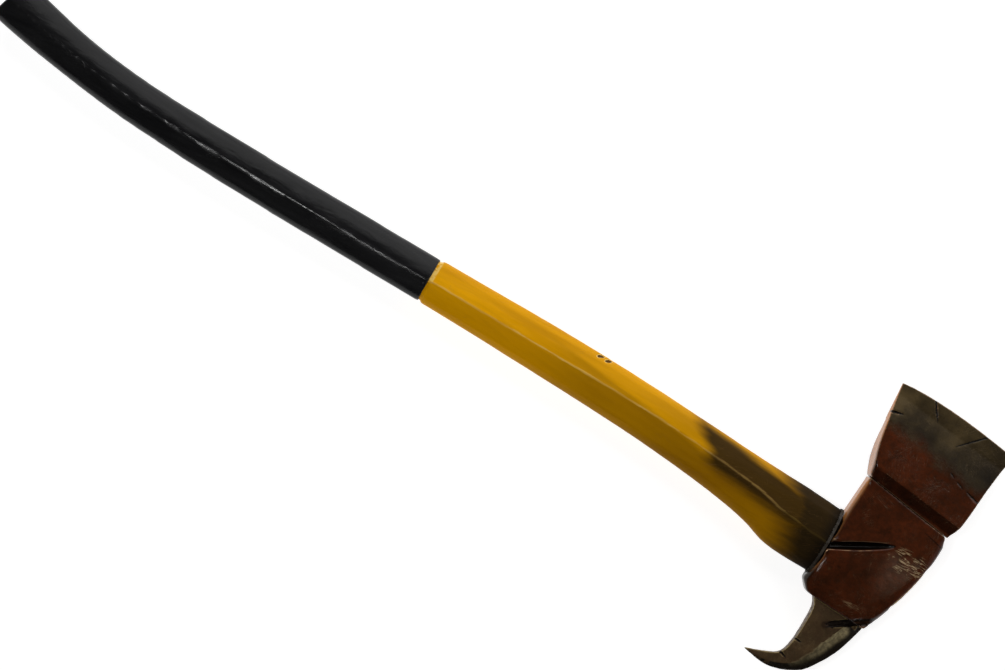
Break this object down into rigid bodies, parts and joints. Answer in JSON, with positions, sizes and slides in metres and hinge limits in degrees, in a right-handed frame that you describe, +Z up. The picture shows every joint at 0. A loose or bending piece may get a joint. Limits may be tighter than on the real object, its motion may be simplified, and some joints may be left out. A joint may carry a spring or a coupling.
{
  "type": "pick-head fire axe",
  "caption": "Fire axe with a flared cutting bit, a hooked pick and a curved painted wooden handle ending in a black rubber grip sleeve.",
  "frame": {"origin": "on the plane the axe lies on, under the centre of its bounding box", "axes": "+X along the handle towards the crown of the head, +Y towards the cutting edge, +Z up, out of the cheek"},
  "size_m": [0.9128, 0.2596, 0.0322],
  "materials": {
    "head_paint": "worn dark red-brown gloss",
    "bare_steel": "dark olive-brown patina",
    "handle_paint": "wood under worn yellow gloss paint",
    "grip": "black, semi-gloss",
    "wedge_wood": "raw",
    "wedge_steel": "dull",
    "sealant": "dirty grey-brown"
  },
  "bodies": {
    "root": {"eye_body": "head_paint", "bit": "head_paint", "pick": "bare_steel", "handle": "handle_paint", "grip_sleeve": "grip", "kerf_wedge": "wedge_wood", "steel_wedge_upper": "wedge_steel", "steel_wedge_lower": "wedge_steel", "seal_bead": "sealant"}
  },
  "joints": []
}
